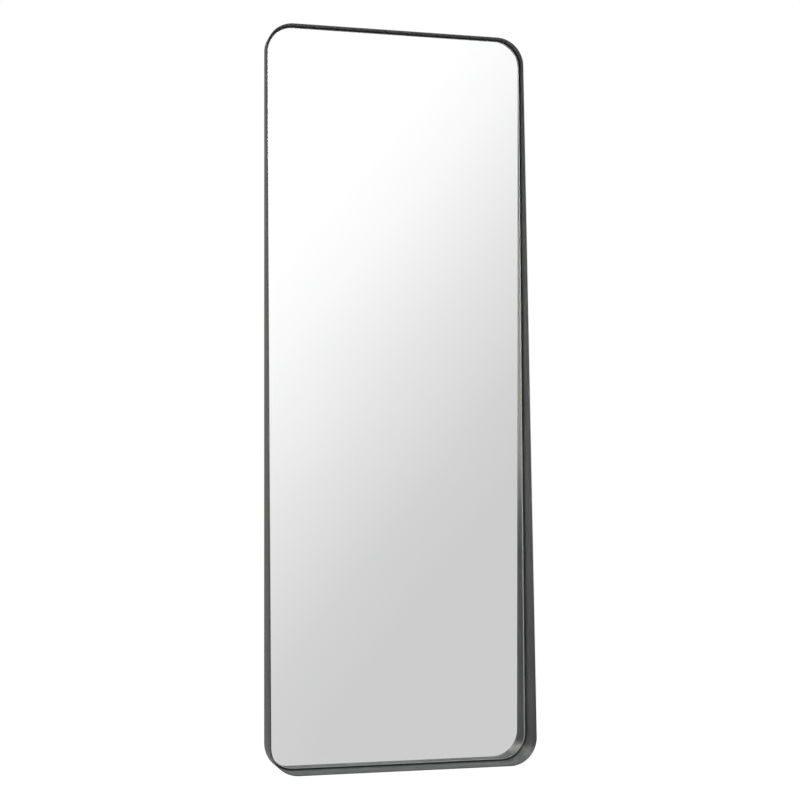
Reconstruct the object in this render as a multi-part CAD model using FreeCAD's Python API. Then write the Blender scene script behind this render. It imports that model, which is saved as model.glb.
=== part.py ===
import FreeCAD, Part
import math
import os

from FreeCAD import Vector

# Full-length wall mirror, in millimetres.
# A flat metal band, shallow at the top and deep at the bottom, stands proud of a recessed pane.
# X runs to the right, Y from the viewer to the wall, Z up, and Z = 0 is the underside.
# While modelling, Y = 0 is the back edge of the band. The last step centres the depth on Y = 0.

# Overall size
mirror_height = 1650.0
mirror_width = 600.0
corner_radius = 62.0

# Band
band_thickness = 2.0
band_depth_top = 28.0
band_depth_bottom = 80.0
band_edge_bevel = 0.3

# Pane, from the gap round it to the film on its silvered back
glass_thickness = 4.0
glass_gap = 3.0
glass_arris = 1.2
film_thickness = 0.3
film_margin = 3.0

# Foam tape strips between film and board
tape_thickness = 1.0
tape_width = 25.0
tape_length_share = 0.86
tape_place_shares = (-0.36, -0.12, 0.12, 0.36)

# Board that carries the pane
board_thickness = 4.0
board_clearance = 0.2

# Steel rails and lugs welded inside the band, behind the board
rail_thickness = 2.0
rail_inset = 1.2
upper_rail_height = 70.0
upper_rail_share = 0.83
lower_rail_height = 40.0
lower_rail_share = 0.17
lug_length = 44.0
lug_reach = 22.0
lug_corner = 6.0
side_lug_shares = (0.34, 0.5, 0.66)
end_lug_shares = (0,)

# Board screws
screw_radius = 1.6
screw_head_radius = 3.8
screw_head_height = 2.0
screw_length = 4.8
screw_bevel_share = 0.4
screw_hole_clearance = 0.3
screw_bite_clearance = 0.05
screw_tip_clearance = 0.3

# Hangers: a strap with a rolled eye, and a D-ring whose straight bar turns in the eye
hanger_inset = 100.0
strap_width = 18.0
strap_thickness = 1.5
strap_screw_start = 26.0
strap_screw_pitch = 12.0
strap_screws = 2
eye_clearance = 0.05
eye_lift = 0.4
eye_below_rail_top = 8.0
ring_wire_radius = 2.0
ring_corner = 4.0
ring_bow_radius = 14.0
ring_sides = 8
hanger_screw_radius = 1.9
hanger_screw_head_radius = 4.2
hanger_screw_head_height = 2.4
hanger_screw_length = 6.2

# Rubber bumpers that hold the band off the wall
wall_standoff = 8.0
bumper_base_radius = 12.0
bumper_tip_radius = 10.0
bumper_bevel = 1.5
bumper_inset = 62.0

# How far every cut runs past the material
cut_overrun = 5.0

# Planes of the sandwich, from the wall forwards
rail_back = -rail_inset
board_back = rail_back - rail_thickness
board_front = board_back - board_thickness
tape_front = board_front - tape_thickness
silver_plane = tape_front - film_thickness
glass_front = silver_plane - glass_thickness

# Insets from the outside of the band
board_inset = band_thickness + board_clearance
glass_inset = band_thickness + glass_gap

# Hanger axis
eye_bore_radius = ring_wire_radius + eye_clearance
strap_face = rail_back + strap_thickness
eye_axis_y = strap_face + eye_bore_radius + eye_lift
upper_rail_z = mirror_height * upper_rail_share
lower_rail_z = mirror_height * lower_rail_share
eye_axis_z = upper_rail_z + upper_rail_height / 2 - eye_below_rail_top


def rounded_face(inset, y):
    """Face of the mirror's rounded rectangle, drawn in by inset, square to Y."""
    radius = corner_radius - inset
    half = mirror_width / 2 - inset
    low = inset
    high = mirror_height - inset
    bulge = radius * (1 - math.sqrt(0.5))
    corners = (
        ((half - radius, high), (half - bulge, high - bulge), (half, high - radius)),
        ((half, low + radius), (half - bulge, low + bulge), (half - radius, low)),
        ((radius - half, low), (bulge - half, low + bulge), (-half, low + radius)),
        ((-half, high - radius), (bulge - half, high - bulge), (radius - half, high)),
    )
    edges = []
    last = corners[-1][-1]
    for corner in corners:
        start, middle, end = [Vector(x, y, z) for x, z in corner]
        edges.append(Part.LineSegment(Vector(last[0], y, last[1]), start).toShape())
        edges.append(Part.Arc(start, middle, end).toShape())
        last = corner[-1]
    return Part.Face(Part.Wire(edges))


def rounded_slab(inset, back, front):
    """Solid between two planes, with the mirror's outline drawn in by inset."""
    return rounded_face(inset, back).extrude(Vector(0, front - back, 0))


def box_between(low, high):
    """Box between two opposite corners."""
    size = Vector(*high) - Vector(*low)
    return Part.makeBox(size.x, size.y, size.z, Vector(*low))


def rod(x, z, radius, back, front):
    """Cylinder along Y at x, z."""
    return Part.makeCylinder(radius, back - front, Vector(x, front, z), Vector(0, 1, 0))


def turned(x, z, outline):
    """Solid turned about the Y axis at x, z, from edges drawn in the plane X = radius."""
    face = Part.Face(Part.Wire(outline))
    solid = face.revolve(Vector(0, 0, 0), Vector(0, 1, 0), 360)
    solid.translate(Vector(x, 0, z))
    return solid


def line(a, b):
    """Straight edge between two radius, y points."""
    return Part.LineSegment(Vector(a[0], a[1], 0), Vector(b[0], b[1], 0)).toShape()


def screw(x, z, seat, radius, head_radius, head_height, length):
    """Screw with a bevelled pan head on the plane seat and a shank that runs forwards."""
    bevel = head_height * screw_bevel_share
    top = seat + head_height
    tip = seat - length
    outline = [
        line((0, tip), (radius, tip)),
        line((radius, tip), (radius, seat)),
        line((radius, seat), (head_radius, seat)),
        line((head_radius, seat), (head_radius, top - bevel)),
        line((head_radius, top - bevel), (head_radius - bevel, top)),
        line((head_radius - bevel, top), (0, top)),
        line((0, top), (0, tip)),
    ]
    return turned(x, z, outline)


def front_y(z):
    """Y of the band's sloping front edge at height z."""
    return -(band_depth_bottom + (band_depth_top - band_depth_bottom) * z / mirror_height)


def lies_on_front(edge):
    """Whether an edge of the band lies in its sloping front."""
    tolerance = band_thickness / 100
    return all(abs(vertex.Y - front_y(vertex.Z)) < tolerance for vertex in edge.Vertexes)


def frame_band():
    """Band of even thickness whose front edge slopes from shallow top to deep bottom."""
    outer = rounded_slab(0, 0, -band_depth_bottom)
    hollow = rounded_slab(band_thickness, cut_overrun, -band_depth_bottom - cut_overrun)
    low = -cut_overrun
    high = mirror_height + cut_overrun
    profile = [(cut_overrun, low), (front_y(low), low), (front_y(high), high), (cut_overrun, high)]
    left = -mirror_width / 2 - cut_overrun
    points = [Vector(left, y, z) for y, z in profile]
    wedge = Part.Face(Part.makePolygon(points + points[:1]))
    wedge = wedge.extrude(Vector(mirror_width + 2 * cut_overrun, 0, 0))
    band = outer.cut(hollow).common(wedge)
    edges = [edge for edge in band.Edges if lies_on_front(edge)]
    return band.makeChamfer(band_edge_bevel, edges)


def mirror_glass():
    """Pane with its front arris ground off."""
    pane = rounded_slab(glass_inset, silver_plane, glass_front)
    tolerance = glass_thickness / 100
    edges = []
    for edge in pane.Edges:
        if all(abs(vertex.Y - glass_front) < tolerance for vertex in edge.Vertexes):
            edges.append(edge)
    return pane.makeChamfer(glass_arris, edges)


def safety_film():
    """Film on the silvered back of the pane."""
    return rounded_slab(glass_inset + film_margin, tape_front, silver_plane)


def mounting_tape():
    """Upright strips of tape between film and board."""
    strips = []
    length = mirror_height * tape_length_share
    low = (mirror_height - length) / 2
    for share in tape_place_shares:
        x = mirror_width * share
        corner = (x - tape_width / 2, tape_front, low)
        strips.append(box_between(corner, (x + tape_width / 2, board_front, low + length)))
    return Part.makeCompound(strips)


def lug_places():
    """Centre, reach direction and screw place of every lug, as x, z pairs."""
    inside = mirror_width / 2 - band_thickness
    places = []
    for side in (-1, 1):
        for share in side_lug_shares:
            places.append((side * inside, mirror_height * share, -side, 0))
    for x_share in end_lug_shares:
        places.append((mirror_width * x_share, band_thickness, 0, 1))
        places.append((mirror_width * x_share, mirror_height - band_thickness, 0, -1))
    return places


def lug_screw_places():
    """Screw places of the lugs."""
    reach = board_clearance + (lug_reach - board_clearance) / 2
    return [(x + dx * reach, z + dz * reach) for x, z, dx, dz in lug_places()]


def bumper_places():
    """Centres of the four bumpers."""
    x = mirror_width / 2 - bumper_inset
    return [(sx * x, z) for sx in (-1, 1) for z in (bumper_inset, mirror_height - bumper_inset)]


def hanger_x(side):
    """Centre of the hanger on one side."""
    return side * (mirror_width / 2 - hanger_inset)


def hanger_screw_places(side):
    """Screw places of one hanger strap."""
    x = hanger_x(side)
    return [(x, eye_axis_z - strap_screw_start - n * strap_screw_pitch) for n in range(strap_screws)]


def drill(solid, places, radius, bottom):
    """Cut a hole along Y into a solid from the wall side, down to the plane bottom, at each place."""
    back = wall_standoff + cut_overrun
    for x, z in places:
        solid = solid.cut(rod(x, z, radius, back, bottom))
    return solid


def all_hanger_screw_places():
    """Screw places of both hanger straps."""
    return hanger_screw_places(-1) + hanger_screw_places(1)


def back_board():
    """Board that carries the pane, with a pilot hole for every screw."""
    board = rounded_slab(board_inset, board_back, board_front)
    bottom = rail_back - screw_length - screw_tip_clearance
    board = drill(board, lug_screw_places(), screw_radius + screw_bite_clearance, bottom)
    bottom = strap_face - hanger_screw_length - screw_tip_clearance
    radius = hanger_screw_radius + screw_bite_clearance
    return drill(board, all_hanger_screw_places(), radius, bottom)


def rail(z, height):
    """Flat bar from wall to wall of the band, centred on height z."""
    half = mirror_width / 2 - band_thickness
    return box_between((-half, board_back, z - height / 2), (half, rail_back, z + height / 2))


def upper_rail():
    """Rail that carries the hangers."""
    bar = rail(upper_rail_z, upper_rail_height)
    radius = hanger_screw_radius + screw_hole_clearance
    return drill(bar, all_hanger_screw_places(), radius, board_front)


def lower_rail():
    """Rail that keeps the deep end of the band square."""
    return rail(lower_rail_z, lower_rail_height)


def lug(x, z, dx, dz):
    """Tab that stands in from the band at x, z towards dx, dz, with its two free corners cut off."""
    along = Vector(dz, 0, dx) * (lug_length / 2)
    reach = Vector(dx, 0, dz) * lug_reach
    root = Vector(x, board_back, z)
    waist = reach * (1 - lug_corner / lug_reach)
    short = along * (1 - 2 * lug_corner / lug_length)
    points = [root - along, root + along, root + along + waist, root + short + reach]
    points += [root - short + reach, root - along + waist]
    plate = Part.Face(Part.makePolygon(points + points[:1]))
    return plate.extrude(Vector(0, rail_thickness, 0))


def mounting_lugs():
    """Every lug, drilled for its screw."""
    lugs = []
    for place, hole in zip(lug_places(), lug_screw_places()):
        lugs.append(drill(lug(*place), [hole], screw_radius + screw_hole_clearance, board_front))
    return Part.makeCompound(lugs)


def board_screws():
    """Screws through the lugs into the board."""
    sizes = (screw_radius, screw_head_radius, screw_head_height, screw_length)
    return Part.makeCompound([screw(x, z, rail_back, *sizes) for x, z in lug_screw_places()])


def hanger_strap(side):
    """Strap plate with a rounded lower end and a rolled eye at its top."""
    x = hanger_x(side)
    half = strap_width / 2
    end_z = eye_axis_z - strap_screw_start - (strap_screws - 1) * strap_screw_pitch
    plate = box_between((x - half, rail_back, end_z), (x + half, strap_face, eye_axis_z))
    plate = plate.fuse(rod(x, end_z, half, strap_face, rail_back))
    left = Vector(x - half, eye_axis_y, eye_axis_z)
    along = Vector(1, 0, 0)
    eye = Part.makeCylinder(eye_bore_radius + strap_thickness, strap_width, left, along)
    start = left - along * cut_overrun
    bore = Part.makeCylinder(eye_bore_radius, strap_width + 2 * cut_overrun, start, along)
    strap = plate.fuse(eye).cut(bore).removeSplitter()
    radius = hanger_screw_radius + screw_hole_clearance
    return drill(strap, hanger_screw_places(side), radius, board_front)


def bent_rod(centre, start, axis, angle):
    """Length of the ring's wire, bent about an axis through centre from a start point.

    Its section is a polygon in the wire's circle, which keeps the faces of the bend few.
    """
    spoke = (start - centre).normalize()
    points = []
    for n in range(ring_sides):
        turn = 2 * math.pi * n / ring_sides
        offset = spoke * math.cos(turn) + axis * math.sin(turn)
        points.append(start + offset * ring_wire_radius)
    profile = Part.Face(Part.makePolygon(points + points[:1]))
    return profile.revolve(centre, axis, angle)


def hanger_ring(side):
    """D-ring of round wire, hanging from its straight bar in the eye."""
    bar_half = ring_bow_radius - ring_corner
    origin = Vector(hanger_x(side), eye_axis_y, eye_axis_z)
    left_end = origin - Vector(bar_half, 0, 0)
    right_end = origin + Vector(bar_half, 0, 0)
    drop = Vector(0, 0, -ring_corner)
    reach = Vector(ring_corner, 0, 0)
    about = Vector(0, 1, 0)
    bar = Part.makeCylinder(ring_wire_radius, 2 * bar_half, left_end, Vector(1, 0, 0))
    pieces = [
        bent_rod(right_end + drop, right_end, about, 90),
        bent_rod(origin + drop, right_end + drop + reach, about, 180),
        bent_rod(left_end + drop, left_end + drop - reach, about, 90),
    ]
    return bar.multiFuse(pieces).removeSplitter()


def hanger_screws():
    """Screws through straps and upper rail into the board."""
    screws = []
    for x, z in all_hanger_screw_places():
        head = (hanger_screw_radius, hanger_screw_head_radius, hanger_screw_head_height)
        screws.append(screw(x, z, strap_face, *head, hanger_screw_length))
    return Part.makeCompound(screws)


def bumper(x, z):
    """Tapered rubber bumper with a bevelled tip, stuck to the board."""
    tip = wall_standoff - bumper_bevel
    outline = [
        line((0, board_back), (bumper_base_radius, board_back)),
        line((bumper_base_radius, board_back), (bumper_tip_radius, tip)),
        line((bumper_tip_radius, tip), (bumper_tip_radius - bumper_bevel, wall_standoff)),
        line((bumper_tip_radius - bumper_bevel, wall_standoff), (0, wall_standoff)),
        line((0, wall_standoff), (0, board_back)),
    ]
    return turned(x, z, outline)


def wall_bumpers():
    """All four bumpers."""
    return Part.makeCompound([bumper(x, z) for x, z in bumper_places()])


def make_parts():
    """Every node of the mirror by name."""
    return {
        "frame_band": frame_band(),
        "mirror_glass": mirror_glass(),
        "safety_film": safety_film(),
        "mounting_tape": mounting_tape(),
        "back_board": back_board(),
        "upper_rail": upper_rail(),
        "lower_rail": lower_rail(),
        "mounting_lugs": mounting_lugs(),
        "board_screws": board_screws(),
        "hanger_strap_left": hanger_strap(-1),
        "hanger_strap_right": hanger_strap(1),
        "hanger_ring_left": hanger_ring(-1),
        "hanger_ring_right": hanger_ring(1),
        "hanger_screws": hanger_screws(),
        "wall_bumpers": wall_bumpers(),
    }


def main():
    os.makedirs("parts", exist_ok=True)
    to_centre = Vector(0, (band_depth_bottom - wall_standoff) / 2, 0)
    for name, shape in make_parts().items():
        placed = shape.copy()
        placed.translate(to_centre)
        placed.exportStep("parts/" + name + ".step")
        box = placed.BoundBox
        print(name, "solids", len(placed.Solids), "valid", placed.isValid(), "volume", round(placed.Volume, 1))
        print("   low", [round(v, 2) for v in (box.XMin, box.YMin, box.ZMin)], end=" ")
        print("high", [round(v, 2) for v in (box.XMax, box.YMax, box.ZMax)])


main()
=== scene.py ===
import math

import bmesh
import bpy
from mathutils import Matrix, Vector


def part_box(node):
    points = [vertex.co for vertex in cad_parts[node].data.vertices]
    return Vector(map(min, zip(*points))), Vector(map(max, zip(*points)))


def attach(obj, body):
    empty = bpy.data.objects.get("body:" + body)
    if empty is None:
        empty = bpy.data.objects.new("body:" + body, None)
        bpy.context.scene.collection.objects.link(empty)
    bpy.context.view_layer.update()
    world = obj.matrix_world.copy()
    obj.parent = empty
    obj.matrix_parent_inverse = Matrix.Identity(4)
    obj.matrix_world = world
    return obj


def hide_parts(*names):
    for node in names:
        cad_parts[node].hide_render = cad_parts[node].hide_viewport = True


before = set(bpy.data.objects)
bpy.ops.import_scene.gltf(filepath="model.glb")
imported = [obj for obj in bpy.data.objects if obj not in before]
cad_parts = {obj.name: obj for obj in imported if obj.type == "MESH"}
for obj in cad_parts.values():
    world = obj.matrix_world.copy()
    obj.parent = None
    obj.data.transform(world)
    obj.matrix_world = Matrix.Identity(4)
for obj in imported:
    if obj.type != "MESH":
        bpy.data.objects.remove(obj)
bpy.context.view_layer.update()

# Full-length mirror, in metres, in the frame of the model.
# X runs to the right, Y from the viewer to the wall, Z up.
# Angles are in degrees.
MM = 0.001
ROOT = "frame"

# Places and sizes read from the model
BAND_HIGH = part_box("frame_band")[1]
GLASS_LOW, GLASS_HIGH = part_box("mirror_glass")
BOARD_LOW, BOARD_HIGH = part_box("back_board")
RAIL_LOW, RAIL_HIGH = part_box("upper_rail")
HALF_WIDTH = BAND_HIGH.x
HEIGHT = BAND_HIGH.z
BAND_BACK = BAND_HIGH.y
GLASS_FRONT = GLASS_LOW.y
GLASS_INSET = GLASS_LOW.z

# Band, pane and board
BAND_THICKNESS = 2.0 * MM
BAND_INSIDE = HALF_WIDTH - BAND_THICKNESS
BAND_DEPTH_TOP = 28.0 * MM
BAND_DEPTH_BOTTOM = 80.0 * MM
CORNER_RADIUS = 62.0 * MM
CORNER_STEPS = 28
EDGE_ROUND = 0.35 * MM
EDGE_STEPS = 4
GLASS_ARRIS = 1.2 * MM
GLASS_ARRIS_BEND = GLASS_ARRIS / 3
GLASS_MARGIN = 0.9 * MM

# Lugs, and the welds of rails and lugs, with their swell and reach as shares
LUG_LENGTH = 44.0 * MM
LUG_REACH = 22.0 * MM
LUG_CORNER = 6.0 * MM
LUG_CORNER_STEPS = 6
LUG_SCREW_REACH = 11.1 * MM
SIDE_LUG_SHARES = (0.34, 0.5, 0.66)
WELD_RADIUS = 1.1 * MM
WELD_PITCH = 1.6 * MM
WELD_SIDES = 10
WELD_DIP = 0.82
WELD_END = 0.45
RAIL_WELD_SHARES = (0.25, 0.75)
RAIL_WELD_REACH = 0.14
LUG_WELD_REACH = 0.3

# Screws: shank radius, head radius, head height and length, then shares of the head
BOARD_SCREW = (1.6 * MM, 3.8 * MM, 2.0 * MM, 4.8 * MM)
HANGER_SCREW = (1.9 * MM, 4.2 * MM, 2.4 * MM, 6.2 * MM)
SCREW_STEPS = 32
SCREW_TURN_RADIANS = 0.83
SEAT_SHARE = 0.97
RIM_SHARE = 0.42
RIM_FOOT_SHARE = 0.2
DOME_STEPS = 6
RECESS_REACH = 0.58
RECESS_WIDTH = 0.15
RECESS_DEPTH = 0.75
RECESS_START = 1.5
RECESS_TAPER = 0.6

# Straps, with their bends as an offset and a share of the eye's radius below its centre
HANGER_X = 200.0 * MM
STRAP_THICKNESS = 1.5 * MM
STRAP_WIDTH = 18.0 * MM
STRAP_COLUMNS = 20
STRAP_SCREW_HEIGHTS = (1370.5 * MM, 1358.5 * MM)
STRAP_FACE = RAIL_HIGH.y + STRAP_THICKNESS
STRAP_FOOT_STEP = 0.1 * MM
STRAP_BENDS = ((0.0, 2.4), (0.0, 1.2), (0.1 * MM, 0.45))
STRAP_MERGE = 0.002 * MM
EYE_Y = 38.75 * MM
EYE_Z = 1396.5 * MM
EYE_RADIUS = 2.05 * MM
EYE_TURN = 285.0
EYE_STEPS = 30

# D-rings
RING_BOW = 14.0 * MM
RING_CORNER = 4.0 * MM
RING_BAR_STEPS = 4
RING_CORNER_STEPS = 8
RING_BOW_STEPS = 32
WIRE_RADIUS = 2.0 * MM
WIRE_SIDES = 20

# Bumpers, with their dimple as shares of the tip's radius and depths
BUMPER_BASE = 12.0 * MM
BUMPER_TIP = 10.0 * MM
BUMPER_STEPS = 40
BUMPER_CHAMFER = 0.3 * MM
BUMPER_LIP = 0.9 * MM
BUMPER_RIM = 1.6 * MM
BUMPER_RIM_START = 5
BUMPER_RIM_STEPS = 6
DIMPLE_RIM_SHARE = 0.55
DIMPLE_FLOOR_SHARE = 0.42
DIMPLE_RIM_DEPTH = 0.5 * MM
DIMPLE_DEPTH = 0.7 * MM

# Bevels of flat steel, and the angle from which they round an edge
BEVEL_SEGMENTS = 2
BEVEL_ANGLE = 40.0
STRAP_BEVEL_ANGLE = 50.0
RAIL_BEVEL = 0.5 * MM
LUG_BEVEL = 0.35 * MM
STRAP_BEVEL = 0.25 * MM

# Angles above which an edge is shaded sharp
SHARP_ANGLE = 35.0
SHARP_SLAB = 60.0
SHARP_WIRE = 80.0
SHARP_SCREW = 32.0
SHARP_STRAP = 40.0
SHARP_BUMPER = 50.0

# Noises: texture coordinates, their stretch, scale, detail and roughness
EVEN = (1.0, 1.0, 1.0)
BRUSH_FINE = ("UV", (12.0, 3600.0, 1.0), 1.0, 4.0, 0.6)
BRUSH_BROAD = ("UV", (2.5, 420.0, 1.0), 1.0, 2.0, 0.5)
BAND_CLOUD = ("Object", EVEN, 7.0, 3.0, 0.55)
BAND_BENDS = ("UV", (620.0, 9.0, 1.0), 1.0, 3.0, 0.6)
PANE_HAZE = ("Object", EVEN, 3.0, 4.0, 0.55)
GROUND_GRAIN = ("Object", EVEN, 700.0, 3.0, 0.6)
BOARD_STIPPLE = ("Object", EVEN, 620.0, 4.0, 0.65)
BOARD_FIBRE = ("Object", (60.0, 60.0, 9.0), 1.0, 5.0, 0.6)
BOARD_CLOUD = ("Object", EVEN, 4.0, 3.0, 0.5)
COAT_SKIN = ("Object", EVEN, 900.0, 2.0, 0.5)
COAT_CLOUD = ("Object", EVEN, 25.0, 3.0, 0.5)
SHEET_MARKS = ("Object", (300.0, 300.0, 40.0), 1.0, 4.0, 0.6)
SCREW_MARKS = ("Object", (220.0, 220.0, 220.0), 1.0, 4.0, 0.6)
ZINC_TINT = ("Object", EVEN, 90.0, 2.0, 0.5)

# Share of the first of two noises, in colour or in bump
BRUSH_SHARE = 0.45
BAND_SHARE = 0.8
BAND_BUMP_SHARE = 0.4
BOARD_GRAIN_SHARE = 0.5
BOARD_SHARE = 0.6
BOARD_BUMP_SHARE = 0.7
COAT_SHARE = 0.6
ZINC_SHARE = 0.45
SOFT_SHARE = 0.6

# Colours by noise value
BAND_TONES = (
    (0.3, (0.031, 0.033, 0.035)),
    (0.5, (0.044, 0.046, 0.048)),
    (0.7, (0.064, 0.066, 0.067)),
)
PANE_TONES = ((0.3, (0.955, 0.962, 0.958)), (0.7, (0.966, 0.970, 0.967)))
GROUND_TONES = ((0.3, (0.84, 0.89, 0.86)), (0.7, (0.91, 0.95, 0.93)))
BOARD_TONES = (
    (0.35, (0.022, 0.022, 0.022)),
    (0.5, (0.033, 0.032, 0.031)),
    (0.65, (0.048, 0.046, 0.044)),
)
COAT_TONES = ((0.35, (0.036, 0.036, 0.037)), (0.65, (0.062, 0.062, 0.064)))
ZINC_TONES = ((0.3, (0.40, 0.42, 0.46)), (0.5, (0.54, 0.55, 0.56)), (0.7, (0.67, 0.65, 0.60)))

# Roughness at both ends of a range of noise values, then that range
MIDDLE_RANGE = (0.3, 0.7)
FULL_RANGE = (0.0, 1.0)
BAND_ROUGHNESS = (0.36, 0.27, *MIDDLE_RANGE)
PANE_ROUGHNESS = (0.0, 0.010, *FULL_RANGE)
GROUND_ROUGHNESS = (0.25, 0.45, *FULL_RANGE)
BOARD_ROUGHNESS = (0.58, 0.86, *MIDDLE_RANGE)
COAT_ROUGHNESS = (0.34, 0.52, *MIDDLE_RANGE)
ZINC_ROUGHNESS = (0.24, 0.44, *FULL_RANGE)

# Strength and depth of bumps
BAND_BUMP = (0.4, 0.00005)
BOARD_BUMP = (0.5, 0.00025)
COAT_BUMP = (0.6, 0.00012)
ZINC_BUMP = (0.3, 0.00003)

# Constants of the shaders
BAND_SHADER = {
    "Metallic": 0.12,
    "Specular IOR Level": 0.09,
    "Specular Tint": (0.3, 0.3, 0.3, 1.0),
    "Anisotropic": 0.91,
    "Anisotropic Rotation": 0.25,
}
METAL_SHADER = {"Metallic": 1.0}
GROUND_SHADER = {"IOR": 1.52, "Specular IOR Level": 0.9}
BOARD_SHADER = {"Specular IOR Level": 0.4}
FLOOR_SHADER = {
    "Base Color": (0.7, 0.7, 0.7, 1.0),
    "Roughness": 0.9,
    "Specular IOR Level": 0.0,
}

# Rubber, film, foam and paint: name, darker and lighter colour, grain, roughness, bump depth
RUBBER = ("bumper_rubber", (0.024, 0.024, 0.024), (0.044, 0.043, 0.042), 700.0, 0.66, 0.00012)
FILM = ("film", (0.42, 0.44, 0.46), (0.52, 0.54, 0.56), 300.0, 0.5, 0.00005)
FOAM = ("foam", (0.70, 0.70, 0.68), (0.84, 0.84, 0.82), 1500.0, 0.85, 0.0002)
PAINT = ("backing_paint", (0.20, 0.21, 0.22), (0.27, 0.28, 0.29), 300.0, 0.6, 0.00002)
SOFT_GRAIN = (4.0, 0.6)
SOFT_CLOUD = (3.0, 0.5)
SOFT_CLOUD_SIZE = 30.0
SOFT_STOPS = (0.35, 0.65)
SOFT_ROUGHNESS_REACH = 0.08
SOFT_BUMP = 0.5

# Camera at the photograph's place
CAMERA_PLACE = (-0.9378, -3.5678, 0.5854)
CAMERA_TURN = (93.500, 0.278, -14.714)
CAMERA_LENS = 74.61
CAMERA_SENSOR = 36.0

# Floor, whose own shade fades out between two distances
FLOOR_Z = -0.30
FLOOR_REACH = 40.0
FLOOR_SHOWN = 0.86
FLOOR_LEVEL = 1.07
FLOOR_FADE = (1.2, 5.0)

# World: the side its light comes from, and its strength opposite and on that side
WHITE = (1.0, 1.0, 1.0, 1.0)
WORLD_FROM = (0.3, 0.95, 0.0)
WORLD_LIGHT = (0.08, 0.50)
WORLD_RANGE = (-1.0, 1.0)

# Card: its section, then its grading by a slanting height and by X
CARD_Y = -1.6
CARD_REACH = 7.0
CARD_TOP = 5.0
CARD_NEAR = -0.1
CARD_LIFT = 0.002
CARD_BEND = 0.5
CARD_BEND_STEPS = 8
CARD_SLOPE = 1.2
CARD_RANGE = (-1.35, 0.35)
CARD_STOPS = ((0.0, 1.0), (0.2, 0.935), (0.5, 0.775), (0.8, 0.642), (1.0, 0.604))
CARD_LEVEL = 1.045
CARD_DIM = (0.15, 1.0, -1.6, 0.0)
CARD_LIFTED = (1.0, 1.4, 1.1, 4.5)

# Lamps: name, place, target, size, fan, power, colour, and whether they light matt and
# glossy surfaces
MIDDLE = (0.0, 0.0, HEIGHT / 2)
LIT_CORNER = (0.27, 0.0, 0.04)
OPEN_FAN = 180.0
CORNER_FAN = 16.0
WARM = (1.0, 0.79, 0.62)
CREAM = (1.0, 0.99, 0.92)
MATT, GLOSSY = (True, False), (False, True)
LAMPS = (
    ("lamp_left", (-3.4, 1.2, 2.0), MIDDLE, (1.8, 2.4), OPEN_FAN, 120.0, WARM, MATT),
    ("lamp_top", (0.6, -0.9, 4.4), MIDDLE, (2.0, 1.6), OPEN_FAN, 330.0, (1.0, 1.0, 0.98), MATT),
    ("lamp_strip", (-0.74, -3.0, 1.27), MIDDLE, (0.35, 1.2), OPEN_FAN, 176.0, CREAM, GLOSSY),
    ("lamp_low", (0.75, -3.2, 0.9), MIDDLE, (0.8, 0.5), OPEN_FAN, 72.0, CREAM, GLOSSY),
    ("lamp_corner", (-3.6, -0.35, 3.8), LIT_CORNER, (1.6, 1.6), CORNER_FAN, 41.0,
     (1.0, 0.96, 0.86), GLOSSY),
    ("lamp_back", (1.2, 3.6, 2.4), MIDDLE, (2.4, 2.4), OPEN_FAN, 50.0, (1.0, 1.0, 1.0), MATT),
)


def new_material(name, constants):
    """Node material with a Principled shader, as (material, nodes, links, shader)."""
    material = bpy.data.materials.new(name)
    material.use_nodes = True
    nodes, links = material.node_tree.nodes, material.node_tree.links
    shader = nodes["Principled BSDF"]
    for socket, value in constants.items():
        shader.inputs[socket].default_value = value
    return material, nodes, links, shader


def noise(nodes, links, source, stretch, scale, detail, roughness):
    """Noise value over texture coordinates that are stretched along their axes."""
    place = nodes.new("ShaderNodeTexCoord")
    mapping = nodes.new("ShaderNodeMapping")
    mapping.inputs["Scale"].default_value = stretch
    links.new(place.outputs[source], mapping.inputs["Vector"])
    node = nodes.new("ShaderNodeTexNoise")
    node.inputs["Scale"].default_value = scale
    node.inputs["Detail"].default_value = detail
    node.inputs["Roughness"].default_value = roughness
    links.new(mapping.outputs["Vector"], node.inputs["Vector"])
    return node.outputs["Fac"]


def ramp(nodes, links, value, stops):
    """Colour ramp through (position, colour) stops."""
    node = nodes.new("ShaderNodeValToRGB")
    elements = node.color_ramp.elements
    while len(elements) < len(stops):
        elements.new(0.5)
    for element, (position, colour) in zip(elements, stops):
        element.position = position
        element.color = (*colour, 1.0)
    links.new(value, node.inputs["Fac"])
    return node.outputs["Color"]


def spread(nodes, links, value, low, high, start, end, blend="LINEAR"):
    """Value between start and end mapped to low and high."""
    node = nodes.new("ShaderNodeMapRange")
    node.interpolation_type = blend
    node.inputs["From Min"].default_value = start
    node.inputs["From Max"].default_value = end
    node.inputs["To Min"].default_value = low
    node.inputs["To Max"].default_value = high
    links.new(value, node.inputs["Value"])
    return node.outputs["Result"]


def math_node(nodes, links, operation, first, second):
    """Result of an operation on two values, each a socket or a number."""
    node = nodes.new("ShaderNodeMath")
    node.operation = operation
    for socket, value in zip(node.inputs, (first, second)):
        if isinstance(value, (int, float)):
            socket.default_value = value
        else:
            links.new(value, socket)
    return node.outputs[0]


def blend_of(nodes, links, first, second, share):
    """Mix of two values, with the share of the first."""
    own = math_node(nodes, links, "MULTIPLY", first, share)
    other = math_node(nodes, links, "MULTIPLY", second, 1.0 - share)
    return math_node(nodes, links, "ADD", own, other)


def add_bump(nodes, links, height, strength, distance, shader):
    """Bump of a height value on a shader."""
    node = nodes.new("ShaderNodeBump")
    node.inputs["Strength"].default_value = strength
    node.inputs["Distance"].default_value = distance
    links.new(height, node.inputs["Height"])
    links.new(node.outputs["Normal"], shader.inputs["Normal"])


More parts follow.
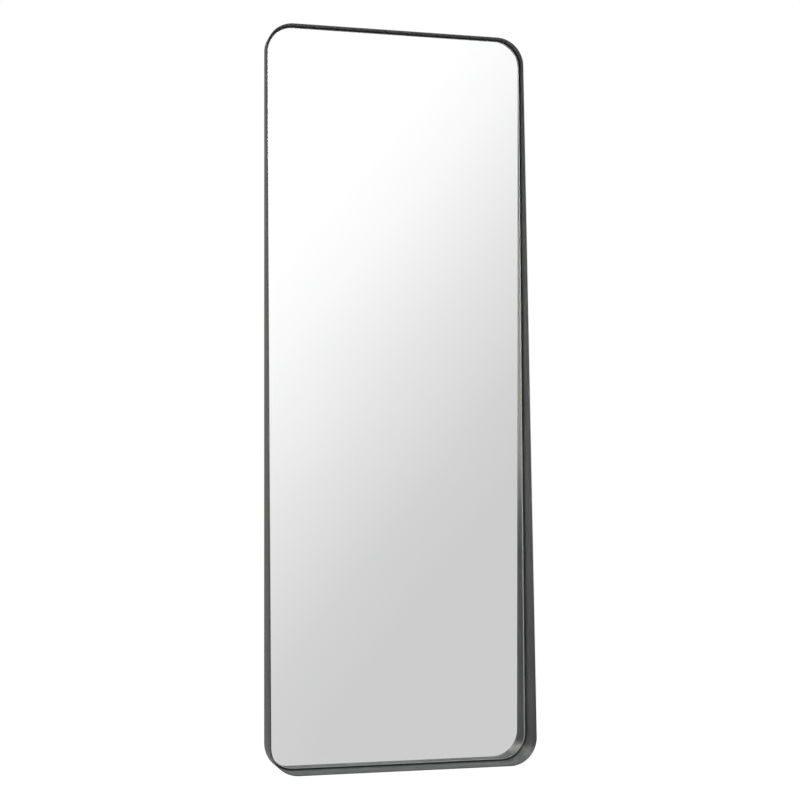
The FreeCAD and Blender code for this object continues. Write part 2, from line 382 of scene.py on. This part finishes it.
def brushed_band():
    """Dark steel, brushed along the band under a satin lacquer, with faint bending marks."""
    material, nodes, links, shader = new_material("brushed_band", BAND_SHADER)
    fine = noise(nodes, links, *BRUSH_FINE)
    broad = noise(nodes, links, *BRUSH_BROAD)
    cloud = noise(nodes, links, *BAND_CLOUD)
    brushed = blend_of(nodes, links, fine, broad, BRUSH_SHARE)
    toned = blend_of(nodes, links, brushed, cloud, BAND_SHARE)
    links.new(ramp(nodes, links, toned, BAND_TONES), shader.inputs["Base Color"])
    links.new(spread(nodes, links, toned, *BAND_ROUGHNESS), shader.inputs["Roughness"])
    tangent = nodes.new("ShaderNodeTangent")
    tangent.direction_type = "UV_MAP"
    links.new(tangent.outputs["Tangent"], shader.inputs["Tangent"])
    bent = noise(nodes, links, *BAND_BENDS)
    height = blend_of(nodes, links, brushed, bent, BAND_BUMP_SHARE)
    add_bump(nodes, links, height, *BAND_BUMP, shader)
    return material


def silvered_face():
    """Front of the silvered pane, clean but not perfectly even."""
    material, nodes, links, shader = new_material("silvered_face", METAL_SHADER)
    haze = noise(nodes, links, *PANE_HAZE)
    links.new(ramp(nodes, links, haze, PANE_TONES), shader.inputs["Base Color"])
    links.new(spread(nodes, links, haze, *PANE_ROUGHNESS), shader.inputs["Roughness"])
    return material


def ground_glass():
    """Ground arris and edge of the pane, pale green."""
    material, nodes, links, shader = new_material("ground_glass", GROUND_SHADER)
    grain = noise(nodes, links, *GROUND_GRAIN)
    links.new(ramp(nodes, links, grain, GROUND_TONES), shader.inputs["Base Color"])
    links.new(spread(nodes, links, grain, *GROUND_ROUGHNESS), shader.inputs["Roughness"])
    return material


def black_board():
    """Fibreboard under matt black paint, with faint fibres and roller stipple."""
    material, nodes, links, shader = new_material("black_board", BOARD_SHADER)
    stipple = noise(nodes, links, *BOARD_STIPPLE)
    fibre = noise(nodes, links, *BOARD_FIBRE)
    cloud = noise(nodes, links, *BOARD_CLOUD)
    grain = blend_of(nodes, links, stipple, fibre, BOARD_GRAIN_SHARE)
    coat = blend_of(nodes, links, grain, cloud, BOARD_SHARE)
    links.new(ramp(nodes, links, coat, BOARD_TONES), shader.inputs["Base Color"])
    links.new(spread(nodes, links, coat, *BOARD_ROUGHNESS), shader.inputs["Roughness"])
    height = blend_of(nodes, links, stipple, fibre, BOARD_BUMP_SHARE)
    add_bump(nodes, links, height, *BOARD_BUMP, shader)
    return material


def powder_coat():
    """Black powder coat with a fine orange-peel skin."""
    material, nodes, links, shader = new_material("powder_coat", {})
    skin = noise(nodes, links, *COAT_SKIN)
    cloud = noise(nodes, links, *COAT_CLOUD)
    both = blend_of(nodes, links, skin, cloud, COAT_SHARE)
    links.new(ramp(nodes, links, both, COAT_TONES), shader.inputs["Base Color"])
    links.new(spread(nodes, links, both, *COAT_ROUGHNESS), shader.inputs["Roughness"])
    add_bump(nodes, links, skin, *COAT_BUMP, shader)
    return material


def zinc_plate(name, rolling):
    """Bright zinc on steel, with faint blue and yellow tints and marks from a noise."""
    material, nodes, links, shader = new_material(name, METAL_SHADER)
    marks = noise(nodes, links, *rolling)
    tint = noise(nodes, links, *ZINC_TINT)
    both = blend_of(nodes, links, marks, tint, ZINC_SHARE)
    links.new(ramp(nodes, links, both, ZINC_TONES), shader.inputs["Base Color"])
    links.new(spread(nodes, links, marks, *ZINC_ROUGHNESS), shader.inputs["Roughness"])
    add_bump(nodes, links, marks, *ZINC_BUMP, shader)
    return material


def soft_solid(name, low, high, scale, roughness, depth):
    """Rubber, film, foam or paint: a grained colour between low and high with a fine bump."""
    material, nodes, links, shader = new_material(name, {})
    grain = noise(nodes, links, "Object", EVEN, scale, *SOFT_GRAIN)
    cloud = noise(nodes, links, "Object", EVEN, scale / SOFT_CLOUD_SIZE, *SOFT_CLOUD)
    both = blend_of(nodes, links, grain, cloud, SOFT_SHARE)
    tones = list(zip(SOFT_STOPS, (low, high)))
    links.new(ramp(nodes, links, both, tones), shader.inputs["Base Color"])
    ends = (roughness - SOFT_ROUGHNESS_REACH, roughness + SOFT_ROUGHNESS_REACH)
    links.new(spread(nodes, links, both, *ends, *MIDDLE_RANGE), shader.inputs["Roughness"])
    add_bump(nodes, links, grain, SOFT_BUMP, depth, shader)
    return material


def rounded_path(inset):
    """Points of the mirror's outline drawn in by inset, as (x, z, nx, nz, length along)."""
    radius = CORNER_RADIUS - inset
    half = HALF_WIDTH - CORNER_RADIUS
    low, high = CORNER_RADIUS, HEIGHT - CORNER_RADIUS
    outline = [(0.0, inset, 0.0, -1.0)]
    for x, z, start in ((half, low, -90), (half, high, 0), (-half, high, 90), (-half, low, 180)):
        for n in range(CORNER_STEPS + 1):
            angle = math.radians(start + 90 * n / CORNER_STEPS)
            nx, nz = math.cos(angle), math.sin(angle)
            outline.append((x + radius * nx, z + radius * nz, nx, nz))
    outline.append(outline[0])
    along = 0.0
    points = [(*outline[0], along)]
    for before, here in zip(outline, outline[1:]):
        along += math.hypot(here[0] - before[0], here[1] - before[1])
        points.append((*here, along))
    return points


def arc_points(cx, cy, radius, start, end, steps):
    """Points of an arc round cx, cy."""
    turns = [math.radians(start + (end - start) * n / steps) for n in range(steps + 1)]
    return [(cx + radius * math.cos(a), cy + radius * math.sin(a)) for a in turns]


def bridge(bm, a, b, material_index=0):
    """Faces between two rings of as many vertices."""
    for i in range(len(a)):
        j = (i + 1) % len(a)
        bm.faces.new((a[i], a[j], b[j], b[i])).material_index = material_index


def finish_mesh(name, bm, materials, sharp_angle=SHARP_ANGLE):
    """Object from a bmesh, smooth except at its sharp edges."""
    bmesh.ops.recalc_face_normals(bm, faces=bm.faces)
    for face in bm.faces:
        face.smooth = True
    for edge in bm.edges:
        if len(edge.link_faces) == 2 and edge.calc_face_angle(0.0) > math.radians(sharp_angle):
            edge.smooth = False
    mesh = bpy.data.meshes.new(name)
    bm.to_mesh(mesh)
    bm.free()
    for material in materials:
        mesh.materials.append(material)
    piece = bpy.data.objects.new(name, mesh)
    bpy.context.scene.collection.objects.link(piece)
    return piece


def set_in_place(piece, body, nodes=()):
    """Tell the frame what a piece rides on and which nodes it replaces."""
    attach(piece, body)
    if nodes:
        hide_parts(*nodes)


def bevel(piece, width, angle=BEVEL_ANGLE):
    """Rounded edges on a piece."""
    modifier = piece.modifiers.new("bevel", "BEVEL")
    modifier.width = width
    modifier.segments = BEVEL_SEGMENTS
    modifier.limit_method = "ANGLE"
    modifier.angle_limit = math.radians(angle)
    modifier.harden_normals = True


def front_y(z):
    """Y of the band's sloping front edge at height z."""
    return BAND_BACK - BAND_DEPTH_BOTTOM + (BAND_DEPTH_BOTTOM - BAND_DEPTH_TOP) * z / HEIGHT


def band_section():
    """Band's section: outer (0) or inner (1) wall, whether at the front, way in, way back."""
    turns = [math.radians(90 * n / EDGE_STEPS) for n in range(EDGE_STEPS + 1)]
    r = EDGE_ROUND
    points = [(0, True, r - r * math.cos(a), r - r * math.sin(a)) for a in turns]
    points += [(1, True, r * math.cos(a) - r, r - r * math.sin(a)) for a in reversed(turns)]
    points += [(1, False, r * math.cos(a) - r, r * math.sin(a) - r) for a in turns]
    points += [(0, False, r - r * math.cos(a), r * math.sin(a) - r) for a in reversed(turns)]
    return points


def make_band(material):
    """Band with rounded edges, its texture laid along and across it."""
    bm = bmesh.new()
    uv = bm.loops.layers.uv.new("band")
    path = rounded_path(0.0)
    rings, across = [], []
    for x, z, nx, nz, _ in path[:-1]:
        ring, lengths, length = [], [], 0.0
        for wall, at_front, inwards, deeper in band_section():
            inset = wall * BAND_THICKNESS + inwards
            px, pz = x - nx * inset, z - nz * inset
            y = front_y(pz) + deeper if at_front else BAND_BACK + deeper
            if ring:
                length += (Vector((px, y, pz)) - ring[-1].co).length
            ring.append(bm.verts.new((px, y, pz)))
            lengths.append(length)
        lengths.append(length + (ring[0].co - ring[-1].co).length)
        rings.append(ring)
        across.append(lengths)
    count = len(rings[0])
    for i in range(len(rings)):
        j = (i + 1) % len(rings)
        for k in range(count):
            m = (k + 1) % count
            face = bm.faces.new((rings[i][k], rings[j][k], rings[j][m], rings[i][m]))
            us = (path[i][4], path[i + 1][4], path[i + 1][4], path[i][4])
            vs = (across[i][k], across[j][k], across[j][k + 1], across[i][k + 1])
            for loop, u, v in zip(face.loops, us, vs):
                loop[uv].uv = (u, v)
    return finish_mesh("band", bm, [material])


def outline_slab(bm, sections, first=0, between=0, last=0):
    """Solid on the mirror's outline through (inset, y) sections, with its material indices."""
    rings = []
    for inset, y in sections:
        rings.append([bm.verts.new((x, y, z)) for x, z, *_ in rounded_path(inset)[:-1]])
    bm.faces.new(rings[0]).material_index = first
    for a, b in zip(rings, rings[1:]):
        bridge(bm, a, b, between)
    bm.faces.new(rings[-1]).material_index = last


def make_pane(materials):
    """Pane with a silvered face inside a clear ground margin and arris."""
    bm = bmesh.new()
    sections = [
        (GLASS_INSET + GLASS_ARRIS + GLASS_MARGIN, GLASS_FRONT),
        (GLASS_INSET + GLASS_ARRIS, GLASS_FRONT),
        (GLASS_INSET + GLASS_ARRIS_BEND, GLASS_FRONT + GLASS_ARRIS_BEND),
        (GLASS_INSET, GLASS_FRONT + GLASS_ARRIS),
        (GLASS_INSET, GLASS_HIGH.y),
    ]
    outline_slab(bm, sections, 0, 1, 2)
    return finish_mesh("pane", bm, materials, SHARP_SLAB)


def make_board(material):
    """Back board with softened edges."""
    bm = bmesh.new()
    inset = BOARD_LOW.z
    sections = [
        (inset + EDGE_ROUND, BOARD_LOW.y),
        (inset, BOARD_LOW.y + EDGE_ROUND),
        (inset, BOARD_HIGH.y - EDGE_ROUND),
        (inset + EDGE_ROUND, BOARD_HIGH.y),
    ]
    outline_slab(bm, sections)
    return finish_mesh("board", bm, [material], SHARP_SLAB)


def prism(bm, outline, back, front):
    """Prism along Y over an outline of x, z points."""
    ends = [[bm.verts.new((x, y, z)) for x, z in outline] for y in (front, back)]
    bm.faces.new(ends[0])
    bm.faces.new(list(reversed(ends[1])))
    bridge(bm, *ends)


def make_rail(name, node, material):
    """Flat bar with rolled edges."""
    low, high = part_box(node)
    corners = [(low.x, low.z), (high.x, low.z), (high.x, high.z), (low.x, high.z)]
    bm = bmesh.new()
    prism(bm, corners, high.y, low.y)
    piece = finish_mesh(name, bm, [material])
    bevel(piece, RAIL_BEVEL)
    return piece


def lug_outline(x, z, dx, dz):
    """Outline of a lug that stands in from x, z towards dx, dz, its free corners rounded."""
    half, level = LUG_LENGTH / 2, LUG_REACH - LUG_CORNER
    flat = [(-half, 0.0), (half, 0.0)]
    for u, start in ((half - LUG_CORNER, 0), (LUG_CORNER - half, 90)):
        flat += arc_points(u, level, LUG_CORNER, start, start + 90, LUG_CORNER_STEPS)
    return [(x + dz * u + dx * v, z + dx * u + dz * v) for u, v in flat]


def lug_places():
    """Root centre and direction of every lug."""
    places = []
    for side in (-1, 1):
        places += [(side * BAND_INSIDE, HEIGHT * share, -side, 0) for share in SIDE_LUG_SHARES]
    places.append((0.0, BAND_THICKNESS, 0, 1))
    places.append((0.0, HEIGHT - BAND_THICKNESS, 0, -1))
    return places


def make_lugs(material):
    """Every lug, as one piece."""
    bm = bmesh.new()
    for place in lug_places():
        prism(bm, lug_outline(*place), RAIL_HIGH.y, RAIL_LOW.y)
    piece = finish_mesh("lugs", bm, [material])
    bevel(piece, LUG_BEVEL)
    return piece


def weld_bead(bm, start, end, into):
    """Row of overlapping weld ripples in the corner from start to end."""
    along = end - start
    side = into.cross(along.normalized()).normalized()
    steps = 2 * max(2, round(along.length / WELD_PITCH))
    rings = []
    for n in range(steps + 1):
        swell = 1.0 if n % 2 else WELD_DIP
        if n in (0, steps):
            swell = WELD_END
        centre = start + along * (n / steps)
        ring = []
        for k in range(WELD_SIDES):
            angle = math.tau * k / WELD_SIDES
            offset = into * math.cos(angle) + side * math.sin(angle)
            ring.append(bm.verts.new(centre + offset * WELD_RADIUS * swell))
        rings.append(ring)
    bm.faces.new(rings[0])
    bm.faces.new(list(reversed(rings[-1])))
    for a, b in zip(rings, rings[1:]):
        bridge(bm, a, b)


def make_welds(material):
    """Weld beads where rails and lugs meet the band."""
    bm = bmesh.new()
    y = RAIL_HIGH.y
    for node in ("upper_rail", "lower_rail"):
        low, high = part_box(node)
        height = high.z - low.z
        reach = height * RAIL_WELD_REACH
        for side in (-1, 1):
            for share in RAIL_WELD_SHARES:
                x, z = side * BAND_INSIDE, low.z + height * share
                start, end = Vector((x, y, z - reach)), Vector((x, y, z + reach))
                weld_bead(bm, start, end, Vector((-side, 0, 0)))
    for x, z, dx, dz in lug_places():
        root = Vector((x, y, z))
        run = Vector((dz, 0.0, dx)) * LUG_LENGTH * LUG_WELD_REACH
        weld_bead(bm, root - run, root + run, Vector((dx, 0, dz)))
    return finish_mesh("welds", bm, [material], SHARP_WIRE)


def lathe(bm, profile, steps, place):
    """Solid turned about a Y axis through place, from (radius, y) points that end on it."""
    turns = [math.tau * n / steps for n in range(steps)]
    rings = []
    for radius, y in profile:
        points = [(radius * math.cos(a), y, radius * math.sin(a)) for a in turns]
        if radius == 0.0:
            points = [(0.0, y, 0.0)]
        rings.append([bm.verts.new(place + Vector(point)) for point in points])
    for a, b in zip(rings, rings[1:]):
        for n in range(steps):
            m = (n + 1) % steps
            corners = [a[n % len(a)], a[m % len(a)], b[m % len(b)], b[n % len(b)]]
            bm.faces.new([v for i, v in enumerate(corners) if v not in corners[:i]])


def screw_blank(radius, head_radius, head_height, length):
    """Turned blank of a domed screw along Y, its seat at Y = 0."""
    rim = head_height * RIM_SHARE
    sag = head_height - rim
    sphere = (head_radius ** 2 + sag ** 2) / (2 * sag)
    widest = math.asin(head_radius / sphere)
    turns = [widest * (1 - n / DOME_STEPS) for n in range(DOME_STEPS)]
    profile = [(0.0, -length), (radius, -length + radius), (radius, 0.0)]
    profile += [(head_radius * SEAT_SHARE, 0.0), (head_radius, rim * RIM_FOOT_SHARE)]
    profile += [(sphere * math.sin(a), rim + sphere * math.cos(a) - (sphere - sag)) for a in turns]
    bm = bmesh.new()
    lathe(bm, profile + [(0.0, head_height)], SCREW_STEPS, Vector())
    return finish_mesh("screw_body", bm, [])


def recess_tool(head_radius, head_height):
    """Tapered cross that cuts the recess into a screw's head."""
    reach, width = head_radius * RECESS_REACH, head_radius * RECESS_WIDTH
    arm = [(reach, width), (width, width), (width, reach)]
    outline = []
    for x, z in ((1, 1), (-1, 1), (-1, -1), (1, -1)):
        corner = [(x * u, z * v) for u, v in arm]
        outline += corner if x * z > 0 else reversed(corner)
    bottom = head_height - head_height * RECESS_DEPTH
    bm = bmesh.new()
    top = [bm.verts.new((x, head_height * RECESS_START, z)) for x, z in outline]
    low = [bm.verts.new((x * RECESS_TAPER, bottom, z * RECESS_TAPER)) for x, z in outline]
    bm.faces.new(top)
    bm.faces.new(list(reversed(low)))
    bridge(bm, top, low)
    return finish_mesh("screw_cut", bm, [])


def screw_mesh(radius, head_radius, head_height, length):
    """Mesh of a domed screw along Y with a cross recess, its seat at Y = 0."""
    body = screw_blank(radius, head_radius, head_height, length)
    tool = recess_tool(head_radius, head_height)
    modifier = body.modifiers.new("recess", "BOOLEAN")
    modifier.object = tool
    modifier.operation = "DIFFERENCE"
    modifier.solver = "EXACT"
    view = bpy.context.evaluated_depsgraph_get()
    mesh = bpy.data.meshes.new_from_object(body.evaluated_get(view))
    bpy.data.objects.remove(body)
    bpy.data.objects.remove(tool)
    return mesh


def make_screws(name, mesh, places, seat, material):
    """Screws at x, z places on the plane seat, each turned its own way."""
    bm = bmesh.new()
    for n, (x, z) in enumerate(places):
        turn = Matrix.Rotation(SCREW_TURN_RADIANS * (n + 1), 4, "Y")
        single = mesh.copy()
        single.transform(Matrix.Translation((x, seat, z)) @ turn)
        bm.from_mesh(single)
        bpy.data.meshes.remove(single)
    return finish_mesh(name, bm, [material], SHARP_SCREW)


def lug_screw_places():
    """Centre of each lug's screw."""
    reach = LUG_SCREW_REACH
    return [(x + dx * reach, z + dz * reach) for x, z, dx, dz in lug_places()]


def strap_screw_places(side):
    """Screw places of one strap."""
    return [(side * HANGER_X, z) for z in STRAP_SCREW_HEIGHTS]


def strap_line(u):
    """Centre line of a strap at u from its middle, as y, z points from foot to seam."""
    middle = (STRAP_FACE + RAIL_HIGH.y) / 2
    radius = EYE_RADIUS + STRAP_THICKNESS / 2
    foot = STRAP_SCREW_HEIGHTS[-1]
    drop = math.sqrt(max(0.0, (STRAP_WIDTH / 2) ** 2 - u ** 2))
    line = [(middle, foot - drop), (middle, foot + STRAP_FOOT_STEP)]
    line += [(middle + offset, EYE_Z - radius * share) for offset, share in STRAP_BENDS]
    return line + arc_points(EYE_Y, EYE_Z, radius, 180, 180 - EYE_TURN, EYE_STEPS)


def make_strap(name, side, material):
    """Strap of sheet steel, with a round foot and an eye with an open seam rolled at its top."""
    bm = bmesh.new()
    rings = []
    for column in range(STRAP_COLUMNS + 1):
        u = STRAP_WIDTH / 2 * math.sin(math.radians(-90 + 180 * column / STRAP_COLUMNS))
        x = side * HANGER_X + u
        line = strap_line(u)
        fronts, backs = [], []
        for n, (y, z) in enumerate(line):
            before, after = line[max(0, n - 1)], line[min(len(line) - 1, n + 1)]
            along = Vector((after[0] - before[0], after[1] - before[1])).normalized()
            side_y, side_z = -along.y * STRAP_THICKNESS / 2, along.x * STRAP_THICKNESS / 2
            fronts.append(bm.verts.new((x, y + side_y, z + side_z)))
            backs.append(bm.verts.new((x, y - side_y, z - side_z)))
        rings.append(fronts + list(reversed(backs)))
    last = len(rings[0]) - 1
    for a, b in zip(rings, rings[1:]):
        for k in range(last + 1):
            m = (k + 1) % (last + 1)
            bm.faces.new((a[k], b[k], b[m], a[m]))
    for ring in (rings[0], rings[-1]):
        for k in range(last // 2):
            bm.faces.new((ring[k], ring[k + 1], ring[last - k - 1], ring[last - k]))
    bmesh.ops.remove_doubles(bm, verts=bm.verts, dist=STRAP_MERGE)
    piece = finish_mesh(name, bm, [material], SHARP_STRAP)
    bevel(piece, STRAP_BEVEL, STRAP_BEVEL_ANGLE)
    return piece


def ring_line():
    """Closed centre line of a D-ring about its bar's middle, as x, z points."""
    bar = RING_BOW - RING_CORNER
    steps = range(1 - RING_BAR_STEPS, RING_BAR_STEPS)
    points = [(bar * n / RING_BAR_STEPS, 0.0) for n in steps]
    points += arc_points(bar, -RING_CORNER, RING_CORNER, 90, 0, RING_CORNER_STEPS)
    points += arc_points(0.0, -RING_CORNER, RING_BOW, 0, -180, RING_BOW_STEPS)[1:-1]
    points += arc_points(-bar, -RING_CORNER, RING_CORNER, 180, 90, RING_CORNER_STEPS)
    return points


def make_ring(name, side, material):
    """D-ring of round wire, as a closed loop."""
    bm = bmesh.new()
    points = ring_line()
    back = Vector((0.0, 1.0, 0.0))
    rings = []
    for n, (x, z) in enumerate(points):
        before, after = points[n - 1], points[(n + 1) % len(points)]
        along = Vector((after[0] - before[0], 0.0, after[1] - before[1])).normalized()
        out = along.cross(back)
        centre = Vector((side * HANGER_X + x, EYE_Y, EYE_Z + z))
        ring = []
        for k in range(WIRE_SIDES):
            angle = math.tau * k / WIRE_SIDES
            offset = out * math.cos(angle) + back * math.sin(angle)
            ring.append(bm.verts.new(centre + offset * WIRE_RADIUS))
        rings.append(ring)
    for a, b in zip(rings, rings[1:] + rings[:1]):
        bridge(bm, a, b)
    return finish_mesh(name, bm, [material], SHARP_WIRE)


def make_bumpers(material):
    """Four moulded rubber bumpers with round rims and a shallow dimple."""
    low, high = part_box("wall_bumpers")
    base, tip, rim, height = BUMPER_BASE, BUMPER_TIP, BUMPER_RIM, high.y - low.y
    profile = [(0.0, 0.0), (base - BUMPER_CHAMFER, 0.0)]
    profile += [(base, BUMPER_CHAMFER), (base, BUMPER_LIP)]
    profile += arc_points(tip - rim, height - rim, rim, BUMPER_RIM_START, 90, BUMPER_RIM_STEPS)
    profile += [(tip * DIMPLE_RIM_SHARE, height)]
    profile += [(tip * DIMPLE_FLOOR_SHARE, height - DIMPLE_RIM_DEPTH), (0.0, height - DIMPLE_DEPTH)]
    bm = bmesh.new()
    for x in (low.x + base, high.x - base):
        for z in (low.z + base, high.z - base):
            lathe(bm, profile, BUMPER_STEPS, Vector((x, low.y, z)))
    return finish_mesh("bumpers", bm, [material], SHARP_BUMPER)


def seen_directly(nodes, links, share):
    """Share for camera, glossy and transmission rays, and nothing for others."""
    path = nodes.new("ShaderNodeLightPath")
    camera, glossy = path.outputs["Is Camera Ray"], path.outputs["Is Glossy Ray"]
    both = math_node(nodes, links, "MAXIMUM", camera, glossy)
    every = math_node(nodes, links, "MAXIMUM", both, path.outputs["Is Transmission Ray"])
    return math_node(nodes, links, "MULTIPLY", every, share)


def vector_value(nodes, links, source, operation, result, other=None):
    """Result of a vector operation on texture coordinates of a kind."""
    place = nodes.new("ShaderNodeTexCoord")
    node = nodes.new("ShaderNodeVectorMath")
    node.operation = operation
    links.new(place.outputs[source], node.inputs[0])
    if other:
        node.inputs[1].default_value = other
    return node.outputs[result]


def show_mix(nodes, links, share, lit, shown, output):
    """Output that shows one shader for a share and the lit one for the rest."""
    mix = nodes.new("ShaderNodeMixShader")
    links.new(share, mix.inputs["Fac"])
    links.new(lit, mix.inputs[1])
    links.new(shown, mix.inputs[2])
    links.new(mix.outputs["Shader"], nodes[output].inputs["Surface"])


def make_floor():
    """Plain pale floor below the mirror, white to the camera but for the mirror's shadow."""
    bm = bmesh.new()
    corners = [(-FLOOR_REACH, -FLOOR_REACH), (FLOOR_REACH, -FLOOR_REACH)]
    corners += [(FLOOR_REACH, FLOOR_REACH), (-FLOOR_REACH, FLOOR_REACH)]
    bm.faces.new([bm.verts.new((x, y, FLOOR_Z)) for x, y in corners])
    material, nodes, links, shader = new_material("stage_floor", FLOOR_SHADER)
    away = vector_value(nodes, links, "Object", "LENGTH", "Value")
    strength = spread(nodes, links, away, FLOOR_LEVEL, 1.0, *FLOOR_FADE)
    share = spread(nodes, links, away, FLOOR_SHOWN, 1.0, *FLOOR_FADE)
    shown = nodes.new("ShaderNodeEmission")
    links.new(strength, shown.inputs["Strength"])
    direct = seen_directly(nodes, links, share)
    lit, own = shader.outputs["BSDF"], shown.outputs["Emission"]
    show_mix(nodes, links, direct, lit, own, "Material Output")
    finish_mesh("stage_floor", bm, [material])


def make_world():
    """World that is white to the camera and to reflections, and a soft light to the rest."""
    world = bpy.data.worlds.new("studio")
    bpy.context.scene.world = world
    world.use_nodes = True
    nodes, links = world.node_tree.nodes, world.node_tree.links
    light, white = nodes["Background"], nodes.new("ShaderNodeBackground")
    for background in (light, white):
        background.inputs["Color"].default_value = WHITE
    towards = vector_value(nodes, links, "Generated", "DOT_PRODUCT", "Value", WORLD_FROM)
    strength = spread(nodes, links, towards, *WORLD_LIGHT, *WORLD_RANGE)
    links.new(strength, light.inputs["Strength"])
    direct = seen_directly(nodes, links, 1.0)
    lit, own = light.outputs["Background"], white.outputs["Background"]
    show_mix(nodes, links, direct, lit, own, "World Output")


def card_shade(nodes, links):
    """Level of the card: a fade along a slanting height, with one side dimmed and one lifted."""
    place = nodes.new("ShaderNodeTexCoord")
    split = nodes.new("ShaderNodeSeparateXYZ")
    links.new(place.outputs["Object"], split.inputs["Vector"])
    x, z = split.outputs["X"], split.outputs["Z"]
    slanted = math_node(nodes, links, "MULTIPLY", x, CARD_SLOPE)
    slope = math_node(nodes, links, "SUBTRACT", slanted, z)
    graded = spread(nodes, links, slope, 0.0, 1.0, *CARD_RANGE)
    shade = ramp(nodes, links, graded, [(stop, (level,) * 3) for stop, level in CARD_STOPS])
    dimmed = spread(nodes, links, x, *CARD_DIM, "SMOOTHSTEP")
    lifted = spread(nodes, links, x, *CARD_LIFTED, "SMOOTHSTEP")
    sides = math_node(nodes, links, "MULTIPLY", dimmed, lifted)
    shaped = math_node(nodes, links, "MULTIPLY", shade, sides)
    return math_node(nodes, links, "MULTIPLY", shaped, CARD_LEVEL)


def make_card():
    """Graded card in front of the mirror, swept in along the floor, which only reflections see."""
    bm = bmesh.new()
    low = FLOOR_Z + CARD_LIFT
    bend = arc_points(CARD_Y + CARD_BEND, low + CARD_BEND, CARD_BEND, 270, 180, CARD_BEND_STEPS)
    line = [(CARD_NEAR, low)] + bend + [(CARD_Y, CARD_TOP)]
    rows = [[bm.verts.new((x, y, z)) for x in (-CARD_REACH, CARD_REACH)] for y, z in line]
    for a, b in zip(rows, rows[1:]):
        bm.faces.new((a[0], a[1], b[1], b[0]))
    material, nodes, links, shader = new_material("stage_card", {})
    nodes.remove(shader)
    shown = nodes.new("ShaderNodeEmission")
    links.new(card_shade(nodes, links), shown.inputs["Strength"])
    links.new(shown.outputs["Emission"], nodes["Material Output"].inputs["Surface"])
    card = finish_mesh("stage_card", bm, [material])
    card.visible_camera = False
    card.visible_diffuse = False
    card.visible_shadow = False
    card.visible_transmission = False


def make_lamp(name, place, target, size, fan, power, colour, lights):
    """Rectangular lamp that the camera doesn't see, for matt light or for shine."""
    lamp = bpy.data.lights.new(name, "AREA")
    lamp.shape = "RECTANGLE"
    lamp.size, lamp.size_y = size
    lamp.spread = math.radians(fan)
    lamp.energy = power
    lamp.color = colour
    item = bpy.data.objects.new(name, lamp)
    item.location = place
    item.rotation_euler = (Vector(target) - Vector(place)).to_track_quat("-Z", "Y").to_euler()
    item.visible_camera = False
    item.visible_diffuse, item.visible_glossy = lights
    bpy.context.scene.collection.objects.link(item)


def make_camera():
    """Camera at the photograph's viewpoint."""
    data = bpy.data.cameras.new("camera")
    data.lens = CAMERA_LENS
    data.sensor_width = CAMERA_SENSOR
    camera = bpy.data.objects.new("camera", data)
    camera.location = CAMERA_PLACE
    camera.rotation_euler = [math.radians(a) for a in CAMERA_TURN]
    bpy.context.scene.collection.objects.link(camera)
    bpy.context.scene.camera = camera


def dress(node, material):
    """Give a node of the model a material."""
    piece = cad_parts[node]
    piece.data.materials.clear()
    piece.data.materials.append(material)


def make_stage():
    """View transform, camera, light, floor and card."""
    bpy.context.scene.view_settings.view_transform = "Standard"
    make_camera()
    make_world()
    for lamp in LAMPS:
        make_lamp(*lamp)
    make_floor()
    make_card()


def make_pieces():
    """Every piece of the mirror, set in place."""
    band_metal = brushed_band()
    powder = powder_coat()
    zinc = zinc_plate("zinc_sheet", SHEET_MARKS)
    screw_zinc = zinc_plate("zinc_screw", SCREW_MARKS)
    rubber, film, foam, paint = [soft_solid(*row) for row in (RUBBER, FILM, FOAM, PAINT)]
    set_in_place(make_band(band_metal), ROOT, ["frame_band"])
    pane = make_pane([silvered_face(), ground_glass(), paint])
    set_in_place(pane, ROOT, ["mirror_glass"])
    set_in_place(make_board(black_board()), ROOT, ["back_board"])
    for name, node in (("rail_upper", "upper_rail"), ("rail_lower", "lower_rail")):
        set_in_place(make_rail(name, node, powder), ROOT, [node])
    set_in_place(make_lugs(powder), ROOT, ["mounting_lugs"])
    set_in_place(make_welds(powder), ROOT)
    mesh = screw_mesh(*BOARD_SCREW)
    screws = make_screws("screws_board", mesh, lug_screw_places(), RAIL_HIGH.y, screw_zinc)
    set_in_place(screws, ROOT, ["board_screws"])
    mesh = screw_mesh(*HANGER_SCREW)
    places = strap_screw_places(-1) + strap_screw_places(1)
    screws = make_screws("screws_hanger", mesh, places, STRAP_FACE, screw_zinc)
    set_in_place(screws, ROOT, ["hanger_screws"])
    for side, word in ((-1, "left"), (1, "right")):
        strap = make_strap("strap_" + word, side, zinc)
        set_in_place(strap, ROOT, ["hanger_strap_" + word])
        ring = make_ring("ring_" + word + "_wire", side, zinc)
        set_in_place(ring, "ring_" + word, ["hanger_ring_" + word])
    set_in_place(make_bumpers(rubber), ROOT, ["wall_bumpers"])
    dress("safety_film", film)
    dress("mounting_tape", foam)


make_stage()
make_pieces()
